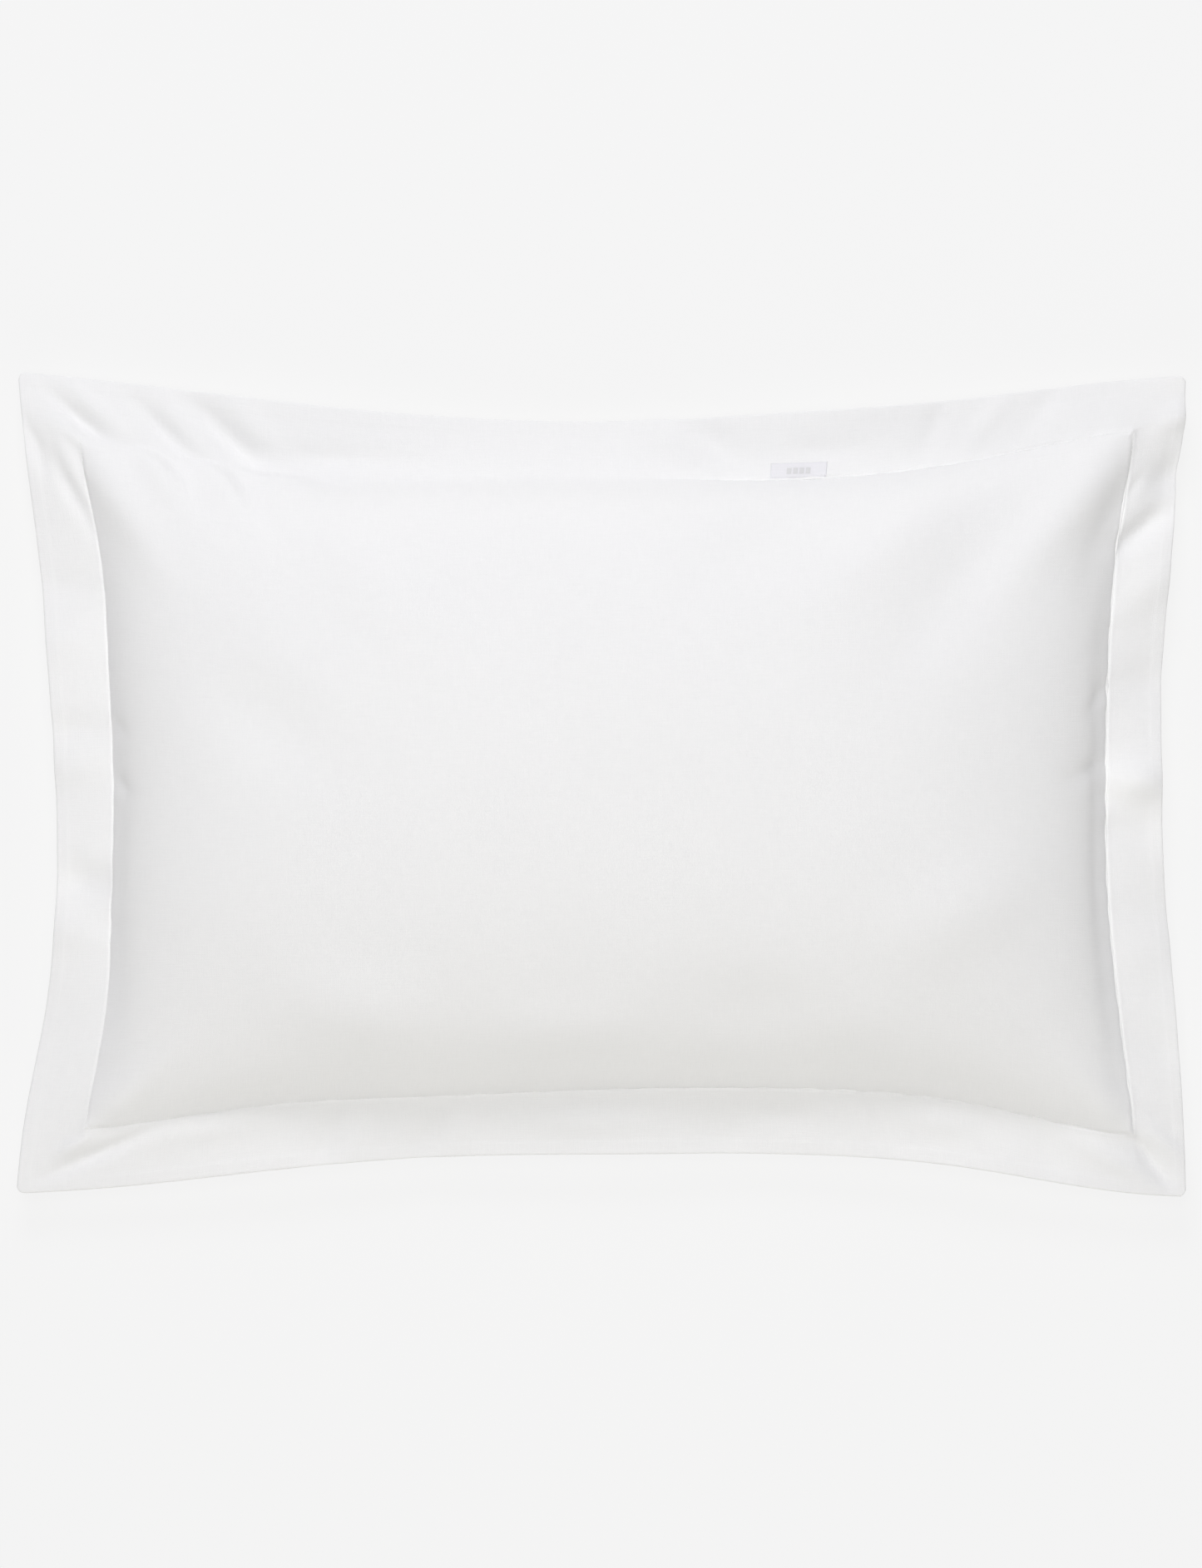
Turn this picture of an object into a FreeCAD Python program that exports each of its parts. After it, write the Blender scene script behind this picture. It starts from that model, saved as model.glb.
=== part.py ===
"""Bed pillow in an Oxford pillowcase, lying on its back with its front panel up. Millimetres.

+X runs along the pillow's length, +Y along its width and +Z up from the surface it lies on.
Every layer of cloth follows one of four base surfaces. Each base surface takes its two
parameters from the flat cloth: s along the length and t along the width, in millimetres from
the middle, so a hem, a label or a row of stitching is cut out by its place on the flat cloth.
"""

import FreeCAD, Part

import os

Vector = FreeCAD.Vector

# The case, measured flat: the pocket between the rows of stitching, and the flange outside it
POCKET_LENGTH = 750.0
POCKET_WIDTH = 500.0
FLANGE_WIDTH = 50.0

# The filled case, seen from above
SEAM_CORNER_X = 374.0
SEAM_CORNER_Y = 247.0
SEAM_BOW_X = 21.5
SEAM_BOW_Y = 31.0
OUTER_CORNER_X = 417.0
OUTER_CORNER_Y = 293.5
OUTER_BOW_X = 24.0
OUTER_BOW_Y = 32.0

# The filled case, seen from the side
SEAM_HEIGHT = 36.0
CROWN_HEIGHT = 91.0
BELLY_DEPTH = 80.0
FLANGE_DROOP = 8.0
CORNER_DROOP = 5.0

# Cloth and thread
CLOTH = 0.6
THREAD = 0.3
GAP = 0.2
THREAD_GAP = 0.1
STITCH_WIDTH = 1.2

# The envelope opening on the back, near the +X end
OPENING_INSET = 110.0
FLAP_TUCK = 170.0
HEM_WIDTH = 20.0
FLAP_HEM_WIDTH = 12.0
HEM_STITCH_INSET = 3.0
ALLOWANCE_WIDTH = 10.0
BAR_TACK_LENGTH = 12.0
BAR_TACK_WIDTH = 2.5

# Labels
WOVEN_LABEL_LENGTH = 40.0
WOVEN_LABEL_WIDTH = 12.0
WOVEN_LABEL_S = 143.0
CARE_LABEL_LENGTH = 45.0
CARE_LABEL_WIDTH = 30.0
CARE_LABEL_T = 160.0
LABEL_THICKNESS = 0.3

# The filled pillow inside the case
INSERT_SCALE = 0.96
INSERT_CROWN = 87.0
FILL_EDGE_INSET = 8.0
PIPING_RADIUS = 1.6
PIPING_CLEARANCE = 1.4
PIPING_CORNER_RADIUS = 3.0
CLOSING_SEAM_LENGTH = 220.0
CLOSING_SEAM_WIDTH = 3.0

HALF_S = POCKET_LENGTH / 2
HALF_T = POCKET_WIDTH / 2
OUTER_S = HALF_S + FLANGE_WIDTH
OUTER_T = HALF_T + FLANGE_WIDTH
OPENING_S = HALF_S - OPENING_INSET
FLAP_END_S = OPENING_S - FLAP_TUCK

# Heights of the layers above the back panel's outer side
HEM_LEVEL = CLOTH + GAP
HEM_STITCH_LEVEL = HEM_LEVEL + CLOTH + THREAD_GAP
FLAP_LEVEL = HEM_STITCH_LEVEL + THREAD + GAP
FLAP_HEM_LEVEL = FLAP_LEVEL + CLOTH + GAP
FLAP_HEM_STITCH_LEVEL = FLAP_HEM_LEVEL + CLOTH + THREAD_GAP
FRONT_LEVEL = FLAP_HEM_LEVEL + CLOTH + GAP
INSERT_LEVEL = FLAP_HEM_STITCH_LEVEL + THREAD + GAP
INSERT_SEAM_HEIGHT = SEAM_HEIGHT + (FLAP_LEVEL + CLOTH + FRONT_LEVEL) / 2

# The back panel's outer side dips this far below the ground plane, which then cuts it flat
FLAT_DIP = 0.2

SURFACE_DEGREE = 3
CURVE_STEP = 50.0
SEAM_KNOT_OFFSETS = (-30.0, -14.0, -5.0, 5.0, 16.0, 32.0)


def clamp(value):
    """The value held between -1 and 1."""
    return max(-1.0, min(1.0, value))


def plan_place(along, half, seam_corner, outer_corner, seam_bow, outer_bow, side, side_half):
    """One plan coordinate of a point of the cloth.

    along and half are the point's place and the seam's place on the flat cloth in this direction.
    side and side_half are its place and the seam's in the other direction, which set how far the
    seam and the outer edge are drawn in at that level.
    """
    seam_in = seam_bow * (1 - clamp(side / side_half) ** 2)
    outer_in = outer_bow * (1 - clamp(side / (side_half + FLANGE_WIDTH)) ** 2)
    seam = seam_corner - seam_in
    outer = outer_corner - outer_in
    reach = abs(along)
    if reach <= half:
        place = seam * reach / half
    else:
        place = seam + (outer - seam) * (reach - half) / FLANGE_WIDTH
    return place if along >= 0 else -place


def plan_x(s, t):
    return plan_place(
        s, HALF_S, SEAM_CORNER_X, OUTER_CORNER_X, SEAM_BOW_X, OUTER_BOW_X, t, HALF_T
    )


def plan_y(s, t):
    return plan_place(
        t, HALF_T, SEAM_CORNER_Y, OUTER_CORNER_Y, SEAM_BOW_Y, OUTER_BOW_Y, s, HALF_S
    )


def swell(s, t):
    """How full the pillow is at a point: 1 in the middle, 0 at the seam and outside it."""
    u = abs(clamp(s / HALF_S))
    v = abs(clamp(t / HALF_T))
    return (1 - u**4) ** 0.75 * (1 - v**2.5) ** 0.8


def flange_drop(s, t):
    """How far a point of the flange hangs below the seam: most at mid-side, least at the corners."""
    out_s = max(0.0, abs(s) - HALF_S) / FLANGE_WIDTH
    out_t = max(0.0, abs(t) - HALF_T) / FLANGE_WIDTH
    middle_s = 1 - (t / OUTER_T) ** 2
    middle_t = 1 - (s / OUTER_S) ** 2
    drop_s = out_s * (CORNER_DROOP + (FLANGE_DROOP - CORNER_DROOP) * middle_s)
    drop_t = out_t * (CORNER_DROOP + (FLANGE_DROOP - CORNER_DROOP) * middle_t)
    return max(drop_s, drop_t)


def back_point(s, t):
    """The case's outer side underneath."""
    height = SEAM_HEIGHT - BELLY_DEPTH * swell(s, t) - flange_drop(s, t)
    return Vector(plan_x(s, t), plan_y(s, t), max(height, -FLAT_DIP))


def front_point(s, t):
    """The underside of the case's front panel."""
    height = SEAM_HEIGHT + FRONT_LEVEL + CROWN_HEIGHT * swell(s, t) - flange_drop(s, t)
    return Vector(plan_x(s, t), plan_y(s, t), height)


def insert_top_point(s, t):
    """The underside of the inner pillow's upper ticking."""
    height = INSERT_SEAM_HEIGHT + GAP / 2 + INSERT_CROWN * swell(s, t)
    return Vector(INSERT_SCALE * plan_x(s, t), INSERT_SCALE * plan_y(s, t), height)


def insert_bottom_point(s, t):
    """The outer side of the inner pillow's lower ticking."""
    height = INSERT_SEAM_HEIGHT - GAP / 2 - CLOTH - BELLY_DEPTH * swell(s, t)
    return Vector(INSERT_SCALE * plan_x(s, t), INSERT_SCALE * plan_y(s, t), max(height, INSERT_LEVEL))


def knot_places(half, outer):
    """Places along the flat cloth where the surface may bend: evenly inside, and closer at the seam."""
    count = round(2 * half / CURVE_STEP)
    inside = [-half + 2 * half * i / count for i in range(2, count - 1)]
    at_seam = [half + offset for offset in SEAM_KNOT_OFFSETS if half + offset < outer]
    mirrored = [-place for place in at_seam]
    return sorted([-outer, outer] + inside + at_seam + mirrored)


def control_places(places):
    """For each control point, the place on the flat cloth that it stands for."""
    ends = SURFACE_DEGREE
    padded = [places[0]] * ends + list(places) + [places[-1]] * ends
    return [
        sum(padded[i + 1 : i + 1 + SURFACE_DEGREE]) / SURFACE_DEGREE
        for i in range(len(places) + SURFACE_DEGREE - 1)
    ]


def base_surface(point, outer_s, outer_t):
    """A smooth surface through the region |s| <= outer_s, |t| <= outer_t of the flat cloth."""
    knots_s = knot_places(HALF_S, outer_s)
    knots_t = knot_places(HALF_T, outer_t)
    ends = SURFACE_DEGREE + 1
    surface = Part.BSplineSurface()
    surface.buildFromPolesMultsKnots(
        [[point(s, t) for t in control_places(knots_t)] for s in control_places(knots_s)],
        [ends] + [1] * (len(knots_s) - 2) + [ends],
        [ends] + [1] * (len(knots_t) - 2) + [ends],
        knots_s,
        knots_t,
        False,
        False,
        SURFACE_DEGREE,
        SURFACE_DEGREE,
    )
    return surface


BACK = base_surface(back_point, OUTER_S, OUTER_T)
FRONT = base_surface(front_point, OUTER_S, OUTER_T)
INSERT_TOP = base_surface(insert_top_point, HALF_S, HALF_T)
INSERT_BOTTOM = base_surface(insert_bottom_point, HALF_S, HALF_T)


def layer(surface, s_range, t_range, level, thickness):
    """One solid layer over a rectangle of the flat cloth, level above the base surface."""
    face = surface.toShape(s_range[0], s_range[1], t_range[0], t_range[1])
    face.translate(Vector(0, 0, level))
    return face.extrude(Vector(0, 0, thickness))


def ring(surface, half_s, half_t, width, level, thickness):
    """Four strips of a layer round a rectangle of the flat cloth, inside its edge."""
    long_s = (-half_s, half_s)
    short_t = (-half_t + width + GAP, half_t - width - GAP)
    strips = []
    for side in (-1, 1):
        edge_t = sorted((side * half_t, side * (half_t - width)))
        edge_s = sorted((side * half_s, side * (half_s - width)))
        strips.append(layer(surface, long_s, edge_t, level, thickness))
        strips.append(layer(surface, edge_s, short_t, level, thickness))
    return Part.makeCompound(strips)


def case_front_panel():
    return layer(FRONT, (-OUTER_S, OUTER_S), (-OUTER_T, OUTER_T), 0, CLOTH)


def case_back_panel():
    """The back panel, from the -X edge to the opening, flat where the pillow lies on it."""
    panel = layer(BACK, (-OUTER_S, OPENING_S), (-OUTER_T, OUTER_T), 0, CLOTH)
    ground = Part.makeBox(
        3 * OUTER_S, 3 * OUTER_T, SEAM_HEIGHT, Vector(-1.5 * OUTER_S, -1.5 * OUTER_T, -SEAM_HEIGHT)
    )
    return panel.cut(ground)


def case_envelope_flap():
    """The flap makes the back of the +X flange, closes the end and tucks in over the pillow."""
    return layer(BACK, (FLAP_END_S, OUTER_S), (-OUTER_T, OUTER_T), FLAP_LEVEL, CLOTH)


def opening_hem():
    return layer(BACK, (OPENING_S - HEM_WIDTH, OPENING_S), (-HALF_T, HALF_T), HEM_LEVEL, CLOTH)


def flap_hem():
    far_edge = FLAP_END_S + FLAP_HEM_WIDTH
    return layer(BACK, (FLAP_END_S, far_edge), (-HALF_T, HALF_T), FLAP_HEM_LEVEL, CLOTH)


def edge_seam_allowance():
    """The turned-in edges of the cloth inside the flange's outer edge."""
    return ring(BACK, OUTER_S - GAP, OUTER_T - GAP, ALLOWANCE_WIDTH, FLAP_HEM_LEVEL, CLOTH)


def border_topstitch_front():
    return ring(FRONT, HALF_S, HALF_T, STITCH_WIDTH, CLOTH + THREAD_GAP, THREAD)


def border_topstitch_back():
    """The stitching on the back: under the back panel, and under the flap past the opening."""
    under_panel = -THREAD_GAP - THREAD
    under_flap = FLAP_LEVEL + under_panel
    along = HALF_T - STITCH_WIDTH
    runs = []
    for side in (-1, 1):
        edge_t = sorted((side * HALF_T, side * along))
        runs.append(layer(BACK, (-HALF_S, OPENING_S), edge_t, under_panel, THREAD))
        runs.append(layer(BACK, (OPENING_S + GAP, HALF_S), edge_t, under_flap, THREAD))
    ends_t = (-along + GAP, along - GAP)
    runs.append(layer(BACK, (-HALF_S, -HALF_S + STITCH_WIDTH), ends_t, under_panel, THREAD))
    runs.append(layer(BACK, (HALF_S - STITCH_WIDTH, HALF_S), ends_t, under_flap, THREAD))
    return Part.makeCompound(runs)


def opening_hem_stitch():
    start = OPENING_S - HEM_WIDTH + HEM_STITCH_INSET
    return layer(BACK, (start, start + STITCH_WIDTH), (-HALF_T, HALF_T), HEM_STITCH_LEVEL, THREAD)


def flap_hem_stitch():
    start = FLAP_END_S + FLAP_HEM_WIDTH - HEM_STITCH_INSET
    return layer(
        BACK, (start, start + STITCH_WIDTH), (-HALF_T, HALF_T), FLAP_HEM_STITCH_LEVEL, THREAD
    )


def opening_bar_tacks():
    """Two short dense bars of stitching that stop the opening from tearing at its ends."""
    s_range = (OPENING_S - BAR_TACK_WIDTH, OPENING_S)
    tacks = []
    for side in (-1, 1):
        inner = side * (HALF_T - STITCH_WIDTH - GAP - BAR_TACK_LENGTH)
        outer = side * (HALF_T - STITCH_WIDTH - GAP)
        t_range = sorted((inner, outer))
        tacks.append(layer(BACK, s_range, t_range, -THREAD_GAP - THREAD, THREAD))
    return Part.makeCompound(tacks)


def woven_label():
    """The small label on the top flange, sewn down close to the stitching."""
    half = WOVEN_LABEL_LENGTH / 2
    s_range = (WOVEN_LABEL_S - half, WOVEN_LABEL_S + half)
    t_range = (HALF_T + GAP, HALF_T + GAP + WOVEN_LABEL_WIDTH)
    return layer(FRONT, s_range, t_range, CLOTH + THREAD_GAP, LABEL_THICKNESS)


def case_care_label():
    """The care label inside the case, sewn to the flap beside its hem."""
    start = FLAP_END_S + FLAP_HEM_WIDTH + GAP
    t_range = (CARE_LABEL_T - CARE_LABEL_WIDTH / 2, CARE_LABEL_T + CARE_LABEL_WIDTH / 2)
    level = FLAP_LEVEL + CLOTH + THREAD_GAP
    return layer(BACK, (start, start + CARE_LABEL_LENGTH), t_range, level, LABEL_THICKNESS)


def ticking_top():
    return layer(INSERT_TOP, (-HALF_S, HALF_S), (-HALF_T, HALF_T), 0, CLOTH)


def ticking_bottom():
    return layer(INSERT_BOTTOM, (-HALF_S, HALF_S), (-HALF_T, HALF_T), 0, CLOTH)


def fibre_fill():
    """The filling: everything between the two tickings, up to where they close on each other."""
    half_s = HALF_S - FILL_EDGE_INSET
    half_t = HALF_T - FILL_EDGE_INSET
    s_range = (-half_s, half_s)
    t_range = (-half_t, half_t)
    upper = INSERT_TOP.toShape(*s_range, *t_range)
    upper.translate(Vector(0, 0, -GAP))
    lower = INSERT_BOTTOM.toShape(*s_range, *t_range)
    lower.translate(Vector(0, 0, CLOTH + GAP))
    walls = [
        Part.makeRuledSurface(below, above) for below, above in zip(lower.Edges, upper.Edges)
    ]
    shell = Part.makeShell([lower, upper] + walls)
    shell.sewShape()
    return Part.makeSolid(shell)


def piping_path():
    """The piping's centre line: four shallow arcs, joined by a tight turn at each corner."""
    out = PIPING_RADIUS + PIPING_CLEARANCE
    corner_x = INSERT_SCALE * SEAM_CORNER_X + out
    corner_y = INSERT_SCALE * SEAM_CORNER_Y + out
    middle_x = INSERT_SCALE * (SEAM_CORNER_X - SEAM_BOW_X) + out
    middle_y = INSERT_SCALE * (SEAM_CORNER_Y - SEAM_BOW_Y) + out
    outline = [
        (-corner_x, -corner_y),
        (0, -middle_y),
        (corner_x, -corner_y),
        (middle_x, 0),
        (corner_x, corner_y),
        (0, middle_y),
        (-corner_x, corner_y),
        (-middle_x, 0),
        (-corner_x, -corner_y),
    ]
    places = [Vector(x, y, INSERT_SEAM_HEIGHT) for x, y in outline]
    sides = [Part.Arc(*places[i : i + 3]).toShape() for i in range(0, len(places) - 1, 2)]
    block = Part.Face(Part.Wire(sides)).extrude(Vector(0, 0, PIPING_RADIUS))
    upright = [edge for edge in block.Edges if abs(edge.tangentAt(edge.FirstParameter).z) > 0.5]
    rounded = block.makeFillet(PIPING_CORNER_RADIUS, upright)
    return min(rounded.Faces, key=lambda face: face.CenterOfMass.z).OuterWire


def ticking_piping():
    """The corded edge round the inner pillow, just outside the two tickings."""
    path = piping_path()
    start = path.OrderedEdges[0]
    place = start.valueAt(start.FirstParameter)
    along = start.tangentAt(start.FirstParameter)
    section = Part.Wire([Part.makeCircle(PIPING_RADIUS, place, along)])
    return path.makePipeShell([section], True, False)


def ticking_closing_seam():
    """The line of closing stitches at the -X end, where the filling went in."""
    half = CLOSING_SEAM_LENGTH / 2
    start = -HALF_S + GAP
    s_range = (start, start + CLOSING_SEAM_WIDTH)
    return layer(INSERT_TOP, s_range, (-half, half), CLOTH + THREAD_GAP, THREAD)


def insert_care_label():
    """The inner pillow's care label, sewn on beside the closing stitches."""
    start = -HALF_S + GAP + CLOSING_SEAM_WIDTH + GAP
    t_range = (CARE_LABEL_T - CARE_LABEL_WIDTH / 2, CARE_LABEL_T + CARE_LABEL_WIDTH / 2)
    s_range = (start, start + CARE_LABEL_LENGTH)
    return layer(INSERT_TOP, s_range, t_range, CLOTH + THREAD_GAP, LABEL_THICKNESS)


SUB_PARTS = (
    case_front_panel,
    case_back_panel,
    case_envelope_flap,
    opening_hem,
    flap_hem,
    edge_seam_allowance,
    border_topstitch_front,
    border_topstitch_back,
    opening_hem_stitch,
    flap_hem_stitch,
    opening_bar_tacks,
    woven_label,
    case_care_label,
    fibre_fill,
    ticking_top,
    ticking_bottom,
    ticking_piping,
    ticking_closing_seam,
    insert_care_label,
)

os.makedirs("parts", exist_ok=True)
for sub_part in SUB_PARTS:
    shape = sub_part()
    if not shape.isValid() or shape.Volume <= 0:
        raise ValueError(f"{sub_part.__name__} is not a sound solid")
    shape.exportStep(f"parts/{sub_part.__name__}.step")
    box = shape.BoundBox
    print(
        f"{sub_part.__name__:26s} {len(shape.Solids)} solids  {shape.Volume / 1000:9.2f} cm3"
        f"  x {box.XMin:7.1f} {box.XMax:7.1f}  y {box.YMin:7.1f} {box.YMax:7.1f}"
        f"  z {box.ZMin:6.2f} {box.ZMax:6.2f}"
    )
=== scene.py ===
"""A plump white bed pillow in a flanged cotton case, lying on its back. Metres, in the CAD's frame.

A point of cloth is named by its place on the flat cloth: s along the length and t along the
width, from the middle. The case is simulated: two flat panels, joined at the stitching that
makes the flange, are filled to the pillow's volume. The result is resampled as smooth sheets,
and the soft folds, stitching and labels are laid on them.
"""

import math
from collections import namedtuple

import bmesh
import bpy
import numpy as np
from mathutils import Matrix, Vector


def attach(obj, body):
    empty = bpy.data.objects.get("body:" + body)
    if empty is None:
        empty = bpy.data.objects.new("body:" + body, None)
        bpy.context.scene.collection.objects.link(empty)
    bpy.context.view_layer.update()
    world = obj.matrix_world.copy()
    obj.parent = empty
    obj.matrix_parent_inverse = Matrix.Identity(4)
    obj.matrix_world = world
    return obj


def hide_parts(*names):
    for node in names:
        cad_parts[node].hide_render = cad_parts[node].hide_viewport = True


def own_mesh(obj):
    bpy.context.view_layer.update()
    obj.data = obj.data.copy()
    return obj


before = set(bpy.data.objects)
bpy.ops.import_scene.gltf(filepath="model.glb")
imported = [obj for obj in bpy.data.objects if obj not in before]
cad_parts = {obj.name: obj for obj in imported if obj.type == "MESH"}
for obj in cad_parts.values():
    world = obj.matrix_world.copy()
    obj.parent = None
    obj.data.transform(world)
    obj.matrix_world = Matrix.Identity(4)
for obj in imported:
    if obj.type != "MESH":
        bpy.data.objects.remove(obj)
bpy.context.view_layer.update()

# The case on the flat
HALF_S = 0.375
HALF_T = 0.250
FLANGE = 0.050
CORNER_RADIUS = 0.007
OUTER_S = HALF_S + FLANGE
OUTER_T = HALF_T + FLANGE
OPENING_S = 0.265
FLAP_END_S = 0.095
HEM_WIDTH = 0.020
FLAP_HEM_WIDTH = 0.012
HEM_STITCH_INSET = 0.003
ALLOWANCE = 0.010

# The simulated cloth
CELLS_S = 90
CELLS_T = 60
CELLS_FLANGE = 6
FRAMES = 45
FILL_VOLUME = 0.0280
START_SEAM_HEIGHT = 0.062
START_SWELL_FRONT = 0.088
START_SWELL_BACK = -0.060
FLANGE_CURL = 1.3

# How strongly the simulated cloth is evened out, and how far inside the seam that reaches its most
RELAX_ROUNDS = 40
FLANGE_CALM = 0.40
SEAM_CALM = 0.08
MIDDLE_CALM = 0.50
CALM_REACH = 0.120

# The sheets' meshes
POCKET_SPACING = 0.0046
FLANGE_SPACING = 0.0030
RIM_WIDTH = 0.0016

# The front runs smoothly over the seam along this stretch of the top side
SOFT_FROM_S = -0.40
SOFT_TO_S = 0.10
SOFT_BLUR = 0.009

# The relief along the seam and the rim
SEAM_BLEND = 0.008
SEAM_DENT = 0.0006
SEAM_RIDGE = 0.00022
PUCKER_HEIGHT = 0.00010
PUCKER_PITCH = 0.009
RUCK_HEIGHT = 0.0004
RUCK_PITCH = 0.034
LEFT_CRISPNESS = 0.55
ALLOWANCE_RISE = 0.00022

# Each layer's outer and inner side, measured out from the middle of the flange's thickness
PANEL_LEVELS = (0.00090, 0.00055)
OPENING_HEM_LEVELS = (0.00050, 0.00028)
FLAP_LEVELS = (0.00020, -0.00010)
FLAP_HEM_LEVELS = (-0.00015, -0.00040)
ALLOWANCE_LEVELS = (0.00048, 0.00022)

# Thread and labels
THREAD_RADIUS = 0.00022
SOFT_SINK = 0.00035
STITCH_PITCH = 0.0030
STITCH_LENGTH = 0.0023
LABEL_S = (0.116, 0.156)
LABEL_T = (HALF_T + 0.0004, HALF_T + 0.0124)
MARK_S = 0.1275
MARK_T = (HALF_T + 0.0038, HALF_T + 0.0084)
MARK_BARS = 4
BAR_LENGTH = 0.0034
BAR_PITCH = 0.0045
CARE_LABEL_LENGTH = 0.045
CARE_LABEL_T = (0.145, 0.175)

# The inner pillow: the case's pocket drawn in to these shares of itself, and a gap besides
INSERT_SHARES = (0.965, 0.965, 0.94)
INSERT_GAP = 0.0008
TICKING_LEVELS = (0.0004, 0.0)
PIPING_RADIUS = 0.0016
FILLING_INSET = 0.006
CLOSING_HALF = 0.11

# The camera frames VIEW_HEIGHT from top to bottom at the seams' height
SEAM_HEIGHT = 0.034
VIEW_HEIGHT = 1.116
LENS = 85.0
SENSOR = 36.0

Grids = namedtuple("Grids", "front back")


# ---------------- the pillow's outline


def spline_matrix(knots, places):
    """The matrix that turns values at the knots into a natural cubic spline's values at places."""
    count = len(knots)
    step = np.diff(knots)
    left = np.eye(count)
    right = np.zeros((count, count))
    for i in range(1, count - 1):
        left[i, i - 1 : i + 2] = (step[i - 1], 2 * (step[i - 1] + step[i]), step[i])
        right[i, i - 1 : i + 2] = (6 / step[i - 1], -6 / step[i - 1] - 6 / step[i], 6 / step[i])
    bend = np.linalg.solve(left, right)
    cell = np.clip(np.searchsorted(knots, places, side="right") - 1, 0, count - 2)
    width = step[cell]
    a = (knots[cell + 1] - places) / width
    b = 1 - a
    matrix = np.zeros((len(places), count))
    rows = np.arange(len(places))
    matrix[rows, cell] += a
    matrix[rows, cell + 1] += b
    matrix += ((a**3 - a) * width**2 / 6)[:, None] * bend[cell]
    matrix += ((b**3 - b) * width**2 / 6)[:, None] * bend[cell + 1]
    return matrix


def flat_lines(half, cells):
    """The simulated cloth's grid lines in one direction, from edge to edge of the flange."""
    outer = half + FLANGE
    return np.linspace(-outer, outer, cells + 2 * CELLS_FLANGE + 1)


LINES_S = flat_lines(HALF_S, CELLS_S)
LINES_T = flat_lines(HALF_T, CELLS_T)
INNER = (
    slice(CELLS_FLANGE, CELLS_FLANGE + CELLS_S + 1),
    slice(CELLS_FLANGE, CELLS_FLANGE + CELLS_T + 1),
)
INSIDE = (
    slice(CELLS_FLANGE + 1, CELLS_FLANGE + CELLS_S),
    slice(CELLS_FLANGE + 1, CELLS_FLANGE + CELLS_T),
)

# Where the flange's edges and the seams lie in plan when the case is full: each line's distance
# from the middle at places along it, with the lines from left to right and from bottom to top
PLACES_S = (-0.425, -0.375, -0.250, -0.125, 0.000, 0.125, 0.250, 0.375, 0.425)
PLACES_T = (-0.300, -0.250, -0.160, -0.080, 0.000, 0.080, 0.160, 0.250, 0.300)
LINES_ACROSS = (
    (-0.4170, -0.4120, -0.3963, -0.3886, -0.3892, -0.3938, -0.4008, -0.4116, -0.4165),
    (-0.3710, -0.3661, -0.3511, -0.3476, -0.3462, -0.3495, -0.3547, -0.3703, -0.3750),
    (0.3820, 0.3786, 0.3679, 0.3602, 0.3587, 0.3600, 0.3658, 0.3780, 0.3810),
    (0.4170, 0.4155, 0.4095, 0.4028, 0.3993, 0.4009, 0.4065, 0.4155, 0.4170),
)
LINES_ALONG = (
    (-0.2920, -0.2895, -0.2763, -0.2660, -0.2637, -0.2641, -0.2728, -0.2920, -0.2940),
    (-0.2470, -0.2448, -0.2283, -0.2214, -0.2165, -0.2162, -0.2255, -0.2495, -0.2510),
    (0.2460, 0.2436, 0.2206, 0.2151, 0.2158, 0.2164, 0.2276, 0.2501, 0.2520),
    (0.2945, 0.2904, 0.2753, 0.2632, 0.2596, 0.2644, 0.2743, 0.2890, 0.2910),
)

# How far the flange's edges stand above where the simulation leaves them, at the same places
END_EDGE_LIFTS = (
    (0.000, 0.002, -0.002, 0.003, -0.002, 0.004, -0.002, 0.002, 0.000),
    (0.000, 0.002, 0.003, -0.002, 0.004, -0.003, 0.003, -0.002, 0.003),
)
SIDE_EDGE_LIFTS = (
    (0.000, 0.002, 0.006, 0.003, 0.004, 0.001, 0.008, 0.004, 0.001),
    (0.000, -0.003, 0.003, -0.003, -0.009, 0.006, 0.005, -0.004, 0.000),
)


def fit_direction(values, steps, targets):
    """Moves a grid's values so that its lines at steps (edge, seam, seam, edge) meet the targets.

    values runs along the fitted direction first; targets gives each line's values for the second.
    """
    low, seam_low, seam_high, high = steps
    fitted = values.copy()
    for first, last in ((low, seam_low), (seam_low, seam_high), (seam_high, high)):
        goals = targets[steps.index(first)], targets[steps.index(last)]
        span = values[first : last + 1]
        share = (span - span[0]) / (span[-1] - span[0])
        fitted[first : last + 1] = goals[0] + share * (goals[1] - goals[0])
    return fitted


def fit_outline(points):
    """Eases a grid of points sideways so that its seams and edges meet the real outline."""
    fitted = points.copy()
    steps_s = (0, CELLS_FLANGE, CELLS_FLANGE + CELLS_S, 2 * CELLS_FLANGE + CELLS_S)
    steps_t = (0, CELLS_FLANGE, CELLS_FLANGE + CELLS_T, 2 * CELLS_FLANGE + CELLS_T)
    across = np.array(LINES_ACROSS) @ spline_matrix(np.array(PLACES_T), LINES_T).T
    along = np.array(LINES_ALONG) @ spline_matrix(np.array(PLACES_S), LINES_S).T
    fitted[..., 0] = fit_direction(points[..., 0], steps_s, across)
    fitted[..., 1] = fit_direction(points[..., 1].T, steps_t, along).T
    return fitted


def pairs(s, t):
    """Every pair of s and t, as two grids."""
    return np.meshgrid(s, t, indexing="ij")


def unit(vectors):
    return vectors / np.linalg.norm(vectors, axis=-1, keepdims=True)


def smooth_step(value):
    """0 below 0, 1 above 1, and a smooth rise between."""
    value = np.clip(value, 0, 1)
    return value * value * (3 - 2 * value)


def bell(distance, width):
    return np.exp(-((distance / width) ** 2))


def outside(s, t):
    """How far each point is outside the seam, negative inside it."""
    return np.maximum(abs(s) - HALF_S, abs(t) - HALF_T)


# ---------------- the simulated case


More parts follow.
